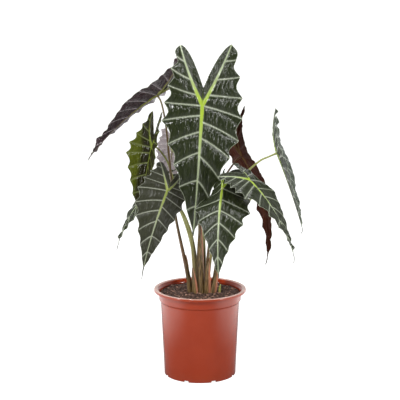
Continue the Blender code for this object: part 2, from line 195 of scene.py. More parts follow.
def new_group(name, inputs, outputs):
    """A shader node group with its helper, its given values and its output node."""
    tree = bpy.data.node_groups.new(name, "ShaderNodeTree")
    for key, kind in inputs.items():
        tree.interface.new_socket(key, in_out="INPUT", socket_type=kind)
    for key, kind in outputs.items():
        tree.interface.new_socket(key, in_out="OUTPUT", socket_type=kind)
    nodes = Nodes(tree)
    return tree, nodes, nodes.add("NodeGroupInput").outputs, nodes.add("NodeGroupOutput")


FLOAT, VECTOR, COLOUR = "NodeSocketFloat", "NodeSocketVector", "NodeSocketColor"

# %% [markdown]
# ## Shared effects
# Three effects come back in several finishes, so each is a node group that is built once. The first
# mixes two colours in soft cloudy patches. The second draws a vein: it takes the distance from the
# vein's middle, makes the vein's edge ragged with noise and gives a hard core and a wide pale halo. The
# third is the fine crumpled relief of a leaf's skin.

# %% Group: cloudy colour
cloudy, nodes, given, result = new_group(
    "cloudy colour",
    {"Pattern": VECTOR, "Scale": FLOAT, "First": COLOUR, "Second": COLOUR},
    {"Color": COLOUR})
patches = nodes.remap(nodes.noise(given["Pattern"], given["Scale"], 5.0, 0.6), 0.32, 0.68)
nodes.fill(result, {"Color": nodes.blend(patches, given["First"], given["Second"])})
print(cloudy.name, len(cloudy.nodes), "nodes")


def clouded(nodes, pattern, scale, first, second):
    """The cloudy mix of two colours, placed in a material."""
    inputs = {"Pattern": pattern, "Scale": scale, "First": (*first, 1), "Second": (*second, 1)}
    return nodes.group(cloudy, inputs)["Color"]


# %% Group: vein band
band, nodes, given, result = new_group(
    "vein band",
    {"Distance": FLOAT, "Width": FLOAT, "Fade": FLOAT, "Ragged": FLOAT, "Pattern": VECTOR},
    {"Core": FLOAT, "Halo": FLOAT})
jitter = nodes.math("SUBTRACT", nodes.noise(given["Pattern"], 1.0, 2.0), 0.5)
ragged = nodes.math("ADD", given["Distance"], nodes.math("MULTIPLY", jitter, given["Ragged"]))
outside = nodes.math("ADD", given["Width"], given["Fade"])
far_outside = nodes.math("ADD", given["Width"], nodes.math("MULTIPLY", given["Fade"], 5.0))
nodes.fill(result, {"Core": nodes.remap(ragged, given["Width"], outside, 1.0, 0.0),
                    "Halo": nodes.remap(ragged, given["Width"], far_outside, 1.0, 0.0)})
print(band.name, len(band.nodes), "nodes")

# %% Group: crumpled relief
crumple, nodes, given, result = new_group(
    "crumpled relief",
    {"Pattern": VECTOR, "Scale": FLOAT, "Fine": FLOAT},
    {"Height": FLOAT})
folds = nodes.noise(given["Pattern"], given["Scale"], 2.0, 0.5, 0.6)
grain = nodes.noise(given["Pattern"], nodes.math("MULTIPLY", given["Scale"], 5.0), 2.0)
ridges = nodes.math("ABSOLUTE", nodes.math("SUBTRACT", folds, 0.5))
nodes.fill(result, {"Height": nodes.math("SUBTRACT", nodes.math("MULTIPLY", grain, given["Fine"]),
                                         nodes.math("MULTIPLY", ridges, 2.0))})
print(crumple.name, len(crumple.nodes), "nodes")

# %% [markdown]
# ## The floor
# A wide pale sheet with a very slight unevenness, so that it isn't one flat tone. It glows white to the
# camera. To the plant it glows only at both sides, so that the glossy pot reflects pale bands there and
# stays deep in front.

# %% Floor
FLOOR_RADIUS = 45.0
SEEN_GLOW = 0.93
SIDE_GLOW = 1.6
SIDE_FROM, SIDE_TO = 0.16, 0.40   # where the side glow starts and is full, metres from the middle
FRONT_FROM, FRONT_TO = -0.55, -0.15   # and how it comes up from front to back
floor_mat, nodes, shader = new_material("studio_floor")
place = nodes.place()
tone = clouded(nodes, place, 1.5, (0.39, 0.39, 0.39), (0.41, 0.41, 0.41))
seen = nodes.add("ShaderNodeLightPath").outputs["Is Camera Ray"]
across, depth_way = nodes.split(place)[0:2]
beside = nodes.remap(nodes.math("ABSOLUTE", across), SIDE_FROM, SIDE_TO, 0.0, SIDE_GLOW)
beside = nodes.math("MULTIPLY", beside, nodes.remap(depth_way, FRONT_FROM, FRONT_TO))
unseen = nodes.math("MULTIPLY", beside, nodes.math("SUBTRACT", 1.0, seen))
strength = nodes.math("ADD", unseen, nodes.math("MULTIPLY", seen, SEEN_GLOW))
nodes.fill(shader, {"Base Color": tone, "Roughness": 0.9, "Emission Color": (1.0, 1.0, 1.0, 1.0),
                    "Emission Strength": strength})
bm = bmesh.new()
bmesh.ops.create_circle(bm, cap_ends=True, segments=64, radius=FLOOR_RADIUS)
floor_mesh = bpy.data.meshes.new("floor")
bm.to_mesh(floor_mesh)
bm.free()
floor_mesh.materials.append(floor_mat)
floor = bpy.data.objects.new("floor", floor_mesh)
bpy.context.scene.collection.objects.link(floor)
print("floor", FLOOR_RADIUS, "m in radius")

# %% [markdown]
# ## Modelling helpers
# Most of the plant is made of thin sheets and tubes that follow a curve. Both start from a flat grid
# whose corners are then carried to their places, because a grid keeps neat rows of faces along every
# vein and stalk. A sheet gets its thickness by extruding all of its faces at once, which closes it into
# one solid skin.

# %% Small number helpers
def mix(a, b, t):
    return a + (b - a) * t


def smooth_step(t):
    t = min(1.0, max(0.0, t))
    return t * t * (3.0 - 2.0 * t)


def bell(distance, width):
    """1 at distance 0, falling to 0 over about two widths."""
    return math.exp(-(distance / width) ** 2)


# %% Grids, thickness and finished pieces
def new_skin():
    """An empty bmesh with the attributes that the plant's materials read."""
    bm = bmesh.new()
    for name in ("ribs", "run", "outwards"):
        bm.verts.layers.float_vector.new(name)
    return bm


def mapped_grid(bm, columns, rows, carry):
    """A grid whose corners are placed by carry(vert, column, row)."""
    verts = bmesh.ops.create_grid(bm, x_segments=columns, y_segments=rows, size=0.5)["verts"]
    for vert in verts:
        carry(vert, round((vert.co.x + 0.5) * columns), round((vert.co.y + 0.5) * rows))
    return verts


def close_up(bm):
    """Merges corners that share a place and removes faces with no area."""
    bmesh.ops.remove_doubles(bm, verts=bm.verts, dist=0.002 * MM)
    bmesh.ops.dissolve_degenerate(bm, edges=bm.edges, dist=0.001 * MM)


def close_tube(bm):
    """Merges the seam of a tube and caps its open ends."""
    close_up(bm)
    bmesh.ops.holes_fill(bm, edges=[edge for edge in bm.edges if edge.is_boundary], sides=0)
    bmesh.ops.recalc_face_normals(bm, faces=bm.faces)


def thicken(bm, depth):
    """Gives a sheet a lower skin, depth(vert) below each corner, with material 1."""
    outwards = bm.verts.layers.float_vector["outwards"]
    bm.normal_update()
    for vert in bm.verts:
        vert[outwards] = vert.normal
    made = bmesh.ops.extrude_face_region(bm, geom=bm.faces[:])["geom"]
    for element in made:
        if isinstance(element, bmesh.types.BMVert):
            element.co -= element[outwards] * depth(element)
        elif isinstance(element, bmesh.types.BMFace):
            element.material_index = 1
    bmesh.ops.recalc_face_normals(bm, faces=bm.faces)


def finish_piece(name, bm, materials, stands_for=(), sharp=55):
    """Makes the bmesh a smooth piece that rides on the plant's body and stands for nodes of the frame."""
    outwards = bm.verts.layers.float_vector.get("outwards")
    if outwards:
        bm.verts.layers.float_vector.remove(outwards)
    bm.normal_update()
    mesh = bpy.data.meshes.new(name)
    bm.to_mesh(mesh)
    bm.free()
    for mat in materials:
        mesh.materials.append(mat)
    mesh.shade_smooth()
    mesh.set_sharp_from_angle(angle=math.radians(sharp))
    piece = bpy.data.objects.new(name, mesh)
    bpy.context.scene.collection.objects.link(piece)
    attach(piece, "root")
    for node in stands_for:
        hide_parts(node)
    print(f"{name}: {sum(len(face.vertices) - 2 for face in mesh.polygons)} triangles")
    return piece


# %% [markdown]
# ## The pot
# The real pot is moulded in one piece from terracotta-coloured plastic: a tapering wall, a collar that
# is a little wider, and a lip folded outwards. It is turned here from one outline. The corners of the
# outline are rounded first, since moulded plastic has no sharp edge and the thin highlights on those
# rounds show the shape. The drain holes in its floor and the notches in its foot ring are cut with a
# Boolean modifier.

# %% Outline of the pot, millimetres
POT_HEIGHT = 162.0
RIM_RADIUS = 85.0
RIM_INNER_RADIUS = 79.0
LIP_FOOT = 157.0
COLLAR_RADIUS = 75.3
COLLAR_FOOT = 141.0
WALL_TOP = 138.0
WALL_TOP_RADIUS = 72.4
FOOT_RADIUS = 66.2
WALL = 1.8
FLOOR_Z = 4.5
PAD_RADIUS = 18.0
DRAIN_COUNT = 8
DRAIN_RADIUS = 4.5
DRAIN_RING = 50
NOTCH = (14, 9, 6)
POT_STEPS = 180

POT_OUTLINE = (
    (0, 0, 0), (PAD_RADIUS, 0, 1), (PAD_RADIUS + 2.5, FLOOR_Z, 1), (FOOT_RADIUS - 4.7, FLOOR_Z, 1),
    (FOOT_RADIUS - 3.0, 0, 0.5), (FOOT_RADIUS - 0.2, 0, 0.8), (FOOT_RADIUS, 0.8, 0.4),
    (WALL_TOP_RADIUS, WALL_TOP, 1.0), (COLLAR_RADIUS, COLLAR_FOOT, 0.9),
    (COLLAR_RADIUS + 0.4, LIP_FOOT, 1.2), (RIM_RADIUS - 0.2, LIP_FOOT, 0.9), (RIM_RADIUS, POT_HEIGHT, 2.2),
    (RIM_INNER_RADIUS, POT_HEIGHT - 0.1, 2.4), (RIM_INNER_RADIUS - 2.6, POT_HEIGHT - 2.2, 1.2),
    (COLLAR_RADIUS - WALL, LIP_FOOT - 1.0, 2.0), (COLLAR_RADIUS - WALL, COLLAR_FOOT, 0.9),
    (WALL_TOP_RADIUS - WALL, WALL_TOP - 0.8, 0.9), (FOOT_RADIUS - WALL + 0.3, FLOOR_Z + WALL, 1.5),
    (PAD_RADIUS + 1.8, FLOOR_Z + WALL, 1), (PAD_RADIUS - 0.7, WALL, 1), (0, WALL, 0),
)


def rounded(outline, steps=5):
    """Replaces each (x, z, reach) corner by a curve that starts reach before it and ends reach after it."""
    points = []
    for n, (x, z, reach) in enumerate(outline):
        corner = Vector((x, z))
        if reach == 0:
            points.append(corner)
            continue
        before = Vector(outline[n - 1][:2]) - corner
        after = Vector(outline[n + 1][:2]) - corner
        start = corner + before.normalized() * min(reach, before.length * 0.45)
        end = corner + after.normalized() * min(reach, after.length * 0.45)
        points += [start.lerp(corner, k / steps).lerp(corner.lerp(end, k / steps), k / steps)
                   for k in range(steps + 1)]
    return points


def turned(points, steps):
    """Turns an outline of (radius, height) in millimetres about the pot's axis."""
    bm = bmesh.new()
    verts = [bm.verts.new((x * MM, 0, z * MM)) for x, z in points]
    for a, b in zip(verts, verts[1:]):
        bm.edges.new((a, b))
    bmesh.ops.spin(bm, geom=bm.verts[:] + bm.edges[:], cent=(0, 0, 0), axis=(0, 0, 1),
                   angle=math.tau, steps=steps, use_merge=True)
    close_up(bm)
    bmesh.ops.recalc_face_normals(bm, faces=bm.faces)
    return bm


# %% Cut the drain holes and the notches in the foot
def cut_by(bm, cutter):
    """Subtracts one bmesh from another with a Boolean modifier and returns the cut bmesh."""
    holders = []
    for name, part in (("whole", bm), ("cutter", cutter)):
        mesh = bpy.data.meshes.new(name)
        part.to_mesh(mesh)
        part.free()
        holders.append(bpy.data.objects.new(name, mesh))
        bpy.context.scene.collection.objects.link(holders[-1])
    boolean = holders[0].modifiers.new("cut", "BOOLEAN")
    boolean.operation = "DIFFERENCE"
    boolean.object = holders[1]
    graph = bpy.context.evaluated_depsgraph_get()
    result = bmesh.new()
    result.from_mesh(holders[0].evaluated_get(graph).to_mesh())
    for holder in holders:
        bpy.data.objects.remove(holder, do_unlink=True)
    return result


drains = bmesh.new()
for k in range(DRAIN_COUNT):
    turn = Matrix.Rotation(math.tau * (k + 0.5) / DRAIN_COUNT, 3, "Z")
    hole = bmesh.ops.create_cone(drains, cap_ends=True, segments=32, radius1=DRAIN_RADIUS * MM,
                                 radius2=DRAIN_RADIUS * MM, depth=20 * MM)["verts"]
    bmesh.ops.translate(drains, verts=hole, vec=(DRAIN_RING * MM, 0, FLOOR_Z * MM))
    notch = bmesh.ops.create_cube(drains, size=1.0)["verts"]
    bmesh.ops.scale(drains, verts=notch, vec=Vector(NOTCH) * MM)
    bmesh.ops.translate(drains, verts=notch, vec=((FOOT_RADIUS - 1) * MM, 0, 0))
    bmesh.ops.rotate(drains, verts=hole + notch, cent=(0, 0, 0), matrix=turn)
pot_bm = cut_by(turned(rounded(POT_OUTLINE), POT_STEPS), drains)
print("pot cut:", len(pot_bm.faces), "faces")

# %% [markdown]
# The plastic is glossy. Its colour is almost even, with a trace of soil dust near the foot, a pale
# reflection painted on top of the lip and very fine scuffs that break the highlight.

# %% Finish of the pot
pot_mat, nodes, shader = new_material("pot_plastic")
place = nodes.place()
height = nodes.split(place)[2]
dust = nodes.remap(height, 0.0, 0.020, 0.15, 0.0)
dusty = nodes.math("MULTIPLY", dust, nodes.noise(place, 260.0, 4.0))
scuffs = nodes.noise(nodes.stretch(place, (60, 60, 14)), 9.0, 6.0, 0.7)
colour = clouded(nodes, place, 14.0, (0.295, 0.030, 0.006), (0.320, 0.035, 0.008))
colour = nodes.blend(dusty, colour, (0.22, 0.12, 0.08))
# Painted reflection: the top of the lip is painted pale, where the bright surroundings shine in it.
painted_rim_reflection = nodes.remap(height, (POT_HEIGHT - 1.3) * MM, (POT_HEIGHT - 0.3) * MM, 0.0, 0.6)
colour = nodes.blend(painted_rim_reflection, colour, (0.85, 0.58, 0.48))
nodes.fill(shader, {"Base Color": colour, "Roughness": nodes.remap(scuffs, 0.3, 0.75, 0.10, 0.18),
                    "Normal": nodes.bump(scuffs, 0.02, 0.0004)})
finish_piece("pot_shell", pot_bm, [pot_mat], ["pot"], sharp=35)

# %% [markdown]
# ## The soil
# Potting mix is peat with bark crumbs. Its surface is a turned sheet of many fine rings whose corners
# are then lifted by noise of three sizes. Loose crumbs of twenty faces each lie on top, since their
# small shadows do more for the look than any texture.

# %% Height of the soil
SOIL_EDGE = 153.2
SOIL_CROWN = 155.0
SOIL_RADIUS = 73.0
SOIL_SHOULDER = 146
SOIL_BOTTOM = 130
RELIEF_FROM = 150                 # the sheet is lifted only above this height


def soil_height(x, y):
    """Height of the soil at a place, all in millimetres."""
    share = min(1.0, math.hypot(x, y) / SOIL_RADIUS)
    lumps = noise.noise((x / 14.0, y / 14.0, 3.7)) * 1.3
    clods = noise.noise((x / 4.5, y / 4.5, 8.1)) * 1.1
    grit = noise.noise((x / 1.7, y / 1.7, 5.5)) * 0.5
    return mix(SOIL_CROWN, SOIL_EDGE, share * share) + lumps + clods + grit


# %% Soil surface
SOIL_RINGS = 62
SOIL_STEPS = 240
rings = [SOIL_RADIUS * k / SOIL_RINGS for k in range(SOIL_RINGS + 1)]
outline = [Vector((r, SOIL_CROWN)) for r in rings]
outline += [Vector((SOIL_RADIUS, SOIL_SHOULDER)), Vector((SOIL_RADIUS - 4, SOIL_BOTTOM)),
            Vector((0, SOIL_BOTTOM))]
soil_bm = turned(outline, SOIL_STEPS)
for vert in soil_bm.verts:
    if vert.co.z > RELIEF_FROM * MM:
        vert.co.z = soil_height(vert.co.x / MM, vert.co.y / MM) * MM
bmesh.ops.recalc_face_normals(soil_bm, faces=soil_bm.faces)
print("soil relief:", len(soil_bm.verts), "corners")

# %% Finish of the soil
soil_mat, nodes, shader = new_material("potting_soil")
place = nodes.place()
colour = clouded(nodes, place, 240.0, (0.022, 0.011, 0.008), (0.120, 0.064, 0.046))
fibres = nodes.remap(nodes.noise(nodes.stretch(place, (900, 300, 500)), 1.0, 4.0), 0.60, 0.72)
colour = nodes.blend(fibres, colour, (0.210, 0.125, 0.090))
nodes.fill(shader, {"Base Color": colour, "Roughness": 0.92,
                    "Normal": nodes.bump(nodes.noise(place, 900.0, 5.0, 0.7), 0.7, 0.0008)})
finish_piece("soil_surface", soil_bm, [soil_mat], ["soil"])

# %% Crumbs and bark bits that lie on the soil
CRUMB_COUNT = 1100
CRUMB_SMALL, CRUMB_LARGE = 0.8, 3.0
rand = random.Random(11)
crumbs = new_skin()
run = crumbs.verts.layers.float_vector["run"]
for _ in range(CRUMB_COUNT):
    angle = rand.uniform(0, math.tau)
    reach = (SOIL_RADIUS - 1.5) * math.sqrt(rand.random())
    x, y = reach * math.cos(angle), reach * math.sin(angle)
    size = mix(CRUMB_SMALL, CRUMB_LARGE, rand.random() ** 3)
    shade = rand.random()
    flat = rand.uniform(0.4, 0.9)
    turn = Matrix.Rotation(rand.uniform(0, math.tau), 3, "Z")
    turn = turn @ Matrix.Rotation(rand.uniform(-0.6, 0.6), 3, "X")
    ball = bmesh.ops.create_icosphere(crumbs, subdivisions=1, radius=size * MM)["verts"]
    for vert in ball:
        swell = 1 + 0.35 * noise.noise(vert.co / MM * 0.8 + Vector((x, y, size)))
        spot = turn @ Vector((vert.co.x * 1.5 * swell, vert.co.y * swell, vert.co.z * flat * swell))
        vert.co = spot + Vector((x, y, soil_height(x, y) + size * 0.25)) * MM
        vert[run] = (shade, 0, 0)

crumb_mat, nodes, shader = new_material("soil_crumbs")
shade = nodes.split(nodes.attribute("run"))[0]
place = nodes.place()
colour = clouded(nodes, place, 500.0, (0.030, 0.015, 0.010), (0.130, 0.070, 0.050))
colour = nodes.blend(nodes.remap(shade, 0.60, 0.98), colour, (0.330, 0.185, 0.130))
nodes.fill(shader, {"Base Color": colour, "Roughness": 0.85,
                    "Normal": nodes.bump(nodes.noise(place, 1400.0, 3.0), 0.5, 0.0004)})
finish_piece("soil_crumbs", crumbs, [crumb_mat], sharp=70)

# %% [markdown]
# The buried rhizome keeps the frame's solid. It is out of sight in the soil, so it only gets a finish.

# %% Finish of the rhizome
root_mat, nodes, shader = new_material("rhizome_skin")
rings = nodes.noise(nodes.stretch(nodes.place(), (30, 30, 420)), 1.0, 4.0)
colour = nodes.blend(nodes.remap(rings, 0.3, 0.7), (0.090, 0.045, 0.025), (0.200, 0.120, 0.070))
nodes.fill(shader, {"Base Color": colour, "Roughness": 0.8, "Normal": nodes.bump(rings, 0.6, 0.001)})
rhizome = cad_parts["rhizome"]
rhizome.data.materials.clear()
rhizome.data.materials.append(root_mat)
print("rhizome finish set")

# %% [markdown]
# ## The shape of a leaf
# Every leaf is the same arrowhead: a midrib that runs from the stalk to the tip, and two ribs that run
# back into the two lobes. Side veins leave these ribs and each one ends in a tooth of the margin. The
# outline is given in units of the midrib's length, with the stalk at (0, 0) and the tip at (0, 1). The
# left and the right half differ a little, because the plant sets its side veins in turn. A leaf's
# numbers place that outline in the plant.

# %% Outline of one leaf
EARLY, LATE = 0, 1
VEIN_ROOTS = (
    (-1, -0.72, -0.42, -0.17, 0, 0.075, 0.20, 0.36, 0.58, 0.785, 1),
    (-1, -0.72, -0.42, -0.17, 0, 0.125, 0.25, 0.39, 0.58, 0.785, 1),
)
TEETH = (
    ((0.190, -0.465), (0.215, -0.375), (0.250, -0.280), (0.265, -0.145), (0.285, -0.010),
     (0.295, 0.130), (0.240, 0.310), (0.187, 0.470), (0.135, 0.640), (0.065, 0.820), (0, 1)),
    ((0.195, -0.490), (0.238, -0.370), (0.280, -0.240), (0.310, -0.075), (0.317, 0.085),
     (0.295, 0.260), (0.235, 0.400), (0.165, 0.565), (0.100, 0.720), (0.045, 0.870), (0, 1)),
)
LOBE_SINUS = -0.14
LOBE_INNER = ((0.125, -0.455), (0.055, -0.29))
LOBE_BOW = 0.05
LOBE_ROUND = 0.10
LOBE_LENGTH = 0.47
TOOTH_DIP = 0.14
VEIN_ARCH = 0.35
THREAD = 0.0075                   # half width of the thread that hangs from the leaf's tip


def vein_index(r, half):
    """Which side vein starts at rib position r, as a number that runs from 0 to 10."""
    roots = VEIN_ROOTS[half]
    for k in range(10):
        if r <= roots[k + 1]:
            return k + (r - roots[k]) / (roots[k + 1] - roots[k])
    return 10.0


def rib_point(r, half):
    """Point on the ribs, from a lobe's tip (r = -1) over the stalk (0) to the leaf tip (1)."""
    if r >= 0:
        return 0.0, r
    lobe = TEETH[half][0]
    return -r * lobe[0] - LOBE_BOW * r * (1 + r), -r * lobe[1]


def margin_point(q, half):
    """Point on the toothed outer margin at vein index q."""
    k = min(int(q), 9)
    (x0, y0), (x1, y1) = TEETH[half][k], TEETH[half][k + 1]
    f = min(1.0, q - k)
    depth = {0: -LOBE_ROUND, 9: 0.0}.get(k, TOOTH_DIP)
    return mix(x0, x1, f) * (1 - depth * max(0.0, math.sin(math.pi * f)) ** 1.25), mix(y0, y1, f)


def inner_margin_point(r, half):
    """Point on the margin between the two lobes, from a lobe's tip (-1) to the bottom of the gap (0)."""
    t = 1.0 + r
    tip = Vector(TEETH[half][0])
    high, low = Vector(LOBE_INNER[0]), Vector(LOBE_INNER[1])
    gap = Vector((0, LOBE_SINUS))
    point = tip * (1 - t) ** 3 + high * 3 * t * (1 - t) ** 2 + low * 3 * t * t * (1 - t) + gap * t ** 3
    return point.x, point.y


def sheet_point(r, t, half, outer=True):
    """Outline point at share t of the way from the rib at r to the margin."""
    if r > 1:
        return t * THREAD * mix(1.0, 0.4, r - 1), r
    rib = rib_point(r, half)
    if not outer:
        edge = inner_margin_point(r, half)
        return mix(rib[0], edge[0], t), mix(rib[1], edge[1], t)
    edge = margin_point(vein_index(r, half), half)
    reach = max(edge[0], THREAD) if r > 0.8 else edge[0]
    return mix(rib[0], reach, t), mix(rib[1], edge[1], t + VEIN_ARCH * (t * t - t))


# %% Where the grid's columns run
COLUMN_GAP = 0.024
LOBE_GAP = 1.6                    # how much wider the gaps are in the lobes
BESIDE_VEIN = (0.0045, 0.011, 0.020)
THREAD_DEPTH = 1.0 * MM
THREAD_STEPS = 8                  # columns from 1 to 2 make the thread at the tip


def column_places():
    """Rib positions of the grid's columns: on each side vein of both halves and close beside it."""
    roots = sorted(set(VEIN_ROOTS[EARLY] + VEIN_ROOTS[LATE]))
    marks = set(roots)
    for root in roots:
        for offset in BESIDE_VEIN:
            marks.add(round(root - offset * (2 if root <= 0 else 1), 4))
            marks.add(round(root + offset * (2 if root < 0 else 1), 4))
    marks = sorted(mark for mark in marks if -1 <= mark <= 1)
    places = []
    for a, b in zip(marks, marks[1:]):
        count = max(1, math.ceil((b - a) / (COLUMN_GAP * (LOBE_GAP if a < 0 else 1))))
        places += [mix(a, b, k / count) for k in range(count)]
    return places + [1 + k / THREAD_STEPS for k in range(THREAD_STEPS + 1)]


COLUMNS = column_places()
BACK_COLUMNS = [place for place in COLUMNS if place <= 0]
OUTER_ROWS = 42
INNER_ROWS = 14
print("grid:", len(COLUMNS), "columns by", OUTER_ROWS, "rows for each half")

# %% The ten leaves, millimetres and degrees
# base: where the stalk leaves the soil; joint and tip: ends of the midrib; face: where the upper side
# looks; route: places the stalk passes; bow, sway: bulge of the midrib upwards and sideways; fold: rise of
# the halves from the midrib; hood: more of it near the stalk; lobe, turn: how the two lobes bend and
# twist; twist: twist of the front part; width, spread, back: factors on the outline's width, the lobes'
# width and their length; halves: which outline each half has; wave: ruffle of the margin; drip, hang:
# length and direction of the thread at the tip; brown: how brown the stalk is at the foot and the blade.
LEAVES = (
    dict(base=(2, -9), joint=(4, -45, 504), tip=(-12, -48, 276), face=(0.15, -1.0, 0.05),
         bow=5, fold=-4, hood=-4, lobe=8, turn=-8, width=1.04,
         route=((1, -7, 200), (-1, 2, 280), (0, 8, 360), (2, 2, 440), (3, -14, 488))),
    dict(base=(13, -12), joint=(38, -109, 368), tip=(32, -124, 217), face=(-0.40, -1.0, 0.2),
         bow=10, fold=-14, hood=-40, lobe=60, width=1.2, halves=(LATE, LATE),
         route=((15, -18, 190), (23, -34, 250), (36, -56, 315))),
    dict(base=(24, -11), joint=(86, -120, 384), tip=(161, -147, 259), face=(0.75, -0.5, 0.55),
         bow=8, sway=-4, hood=-18, lobe=30, twist=15, width=1.0, spread=1.2, back=0.7,
         drip=16, hang=(-0.3, 0, -1),
         route=((30, -14, 190), (40, -24, 230), (57, -38, 280), (78, -52, 320), (94, -80, 356))),
    dict(base=(23, 3), joint=(138, -20, 416), tip=(181, -75, 290), face=(1.0, -0.14, 0.3),
         bow=2, fold=15, lobe=-29, turn=10, width=1.0, spread=1.1, back=1.15,
         drip=12, hang=(-0.9, 0, -1),
         route=((28, 2, 190), (38, 0, 260), (54, -4, 325), (78, -10, 372), (106, -15, 400))),
    dict(base=(12, 5), joint=(78, 50, 400), tip=(127, 55, 204), face=(0.92, 0.35, 0.25),
         bow=18, fold=-4, lobe=-60, drip=12, hang=(-0.5, 0, -1), brown=(0.8, 1.0),
         route=((13, 8, 200), (22, 18, 280), (36, 32, 345))),
    dict(base=(-18, -4), joint=(-78, 30, 515), tip=(-204, 40, 399), face=(-0.62, 0.36, 0.63),
         bow=8, fold=9, lobe=-28, wave=4.5, brown=(1.0, 0.8),
         route=((-26, -2, 204), (-46, 6, 302), (-55, 14, 389), (-62, 20, 460))),
    dict(base=(-7, 1), joint=(-88, 23, 420), tip=(-110, 28, 282), face=(-0.60, -0.80, 0.1),
         bow=4, fold=40, lobe=2, width=1.08, spread=0.5,
         route=((-8, 3, 211), (-18, 4, 269), (-37, 12, 309), (-50, 30, 360), (-60, 36, 392))),
    dict(base=(-9, -12), joint=(-58, -52, 353), tip=(-101, -66, 215), face=(0.37, -0.93, 0.17),
         bow=8, sway=6, fold=-18, lobe=50, width=1.12, spread=0.75, back=0.85, halves=(LATE, EARLY),
         drip=22, hang=(-0.1, 0, -1),
         route=((-12, -14, 214), (-19, -15, 274), (-36, -22, 316))),
    dict(base=(-8, 12), joint=(-84, 55, 345), tip=(-154, 50, 233), face=(-0.75, -0.35, 0.55),
         bow=10, fold=-10, lobe=30, width=0.8, drip=12, hang=(-0.2, 0, -1),
         route=((-9, 15, 200), (-22, 32, 260), (-45, 52, 312))),
    dict(base=(5, 15), joint=(-52, 95, 411), tip=(-59, 101, 325), face=(-0.10, 0.95, 0.15),
         bow=6, fold=-8, lobe=10, width=1.15,
         route=((8, 20, 210), (3, 36, 300), (-16, 62, 374))),
)
midribs = [round((Vector(leaf["tip"]) - Vector(leaf["joint"])).length) for leaf in LEAVES]
print(len(LEAVES), "leaves, midribs", midribs)


# %% [markdown]
# A pose carries the flat outline into the plant. It runs along the bowed midrib, turns the two halves
# about it, bends the lobes back, and adds the sheet's own relief square to the surface.

# %% The pose of a leaf
GROWN_MIDRIB = 0.228              # midrib of the largest leaf, on which the widths of the veins are given
HOOD_REACH = 0.28


class Pose:
    """Carries the flat outline of one leaf to its place in the plant."""

    def __init__(self, leaf):
        self.joint = Vector(leaf["joint"]) * MM
        chord = Vector(leaf["tip"]) * MM - self.joint
        self.length = chord.length
        self.ahead = chord.normalized()
        face = Vector(leaf["face"])
        self.up = (face - self.ahead * face.dot(self.ahead)).normalized()
        self.side = self.ahead.cross(self.up)
        for key, usual in (("bow", 0), ("sway", 0), ("wave", 2.5), ("drip", 6)):
            setattr(self, key, leaf.get(key, usual) * MM)
        for key in ("fold", "hood", "lobe", "turn", "twist"):
            setattr(self, key, math.radians(leaf.get(key, 0)))
        for key in ("width", "spread", "back"):
            setattr(self, key, leaf.get(key, 1.0))
        self.halves = leaf.get("halves", (EARLY, LATE))
        self.hang = Vector(leaf.get("hang", (0, 0, -1))).normalized()
        self.scale = GROWN_MIDRIB / self.length

    def frame(self, y):
        """Midrib point and the side and upper directions at outline height y."""
        k = min(1.0, max(y, 0.0))
        arch = 4 * k * (1 - k)
        point = self.joint + self.ahead * self.length * k + self.up * self.bow * arch
        point = point + self.side * self.sway * arch
        slope = 4 * (1 - 2 * k)
        along = self.ahead * self.length + self.up * self.bow * slope + self.side * self.sway * slope
        along.normalize()
        up = (self.up - along * self.up.dot(along)).normalized()
        side = along.cross(up)
        roll = self.twist * k if y > 0 else self.turn * -y / LOBE_LENGTH
        side, up = (side * math.cos(roll) + up * math.sin(roll),
                    up * math.cos(roll) - side * math.sin(roll))
        if y < 0:
            bend = self.lobe * -y / LOBE_LENGTH
            back = -y * self.length * self.back
            point = point - along * back * math.cos(bend / 2) - up * back * math.sin(bend / 2)
            up = up * math.cos(bend) - along * math.sin(bend)
        if y > 1:
            point = point + along.lerp(self.hang, (y - 1) * 0.5) * (y - 1) * self.drip
        return point, side, up

    def place(self, x, y, height):
        """The plant's point for outline point (x, y), raised by height above the sheet."""
        point, side, up = self.frame(y)
        lobe_part = min(1.0, max(0.0, -y / LOBE_LENGTH))
        reach = abs(x) * self.length * self.width * mix(1.0, self.spread, lobe_part)
        angle = self.fold + self.hood * smooth_step((HOOD_REACH - y) / HOOD_REACH)
        out = side if x > 0 else -side
        point = point + out * (reach * math.cos(angle) - height * math.sin(angle))
        return point + up * (reach * math.sin(angle) + height * math.cos(angle))


POSES = [Pose(leaf) for leaf in LEAVES]
print("poses made")

# %% [markdown]
# The sheet between two side veins swells upwards like a quilt, and the margin ruffles between its
# teeth. Each corner also stores how far it lies from the ribs, from the nearest side vein and from the
# margin, in metres on a fully grown leaf, and how far along the veins it is. The finishes read these,
# so that paint and relief agree.

# %% Relief of the upper skin
SWELL = 1.3 * MM
WRINKLE = 3.2 * MM
WARP = 1.5 * MM
RIB_CLEAR = 3.5 * MM
VEIN_CLEAR = 4.5 * MM
NARROW = 12 * MM                  # the relief fades where the sheet is narrower than this
NO_VEIN = 0.2                     # distance for places that no side vein is near


def relief(rib, vein, run_x, run_y, seed):
    """Height of the blade between its veins."""
    clear = 1 - bell(rib, RIB_CLEAR)
    between = 1 - bell(vein, VEIN_CLEAR)
    warp = noise.noise((run_x * 22, run_y * 22, seed)) * WARP
    creases = 0.5 - abs(noise.noise((run_x * 130, run_y * 48, seed + 9)))
    small = noise.noise((run_x * 300, run_y * 90, seed + 4))
    return clear * (between * (SWELL + creases * WRINKLE + small * 0.3 * WRINKLE) + warp * clear)


def vein_distance(r, t, half, point):
    """Distance from an outline point to the nearer side vein."""
    k = min(int(vein_index(r, half)), 9)
    nearest = NO_VEIN
    for root in VEIN_ROOTS[half][k:k + 2]:
        if -1 < root < 1:
            on_vein = Vector(sheet_point(root, t, half))
            heading = Vector(sheet_point(root, t + 0.02, half)) - Vector(sheet_point(root, t - 0.02, half))
            gap = Vector(point) - on_vein
            nearest = min(nearest, abs(gap.cross(heading.normalized())))
    return nearest


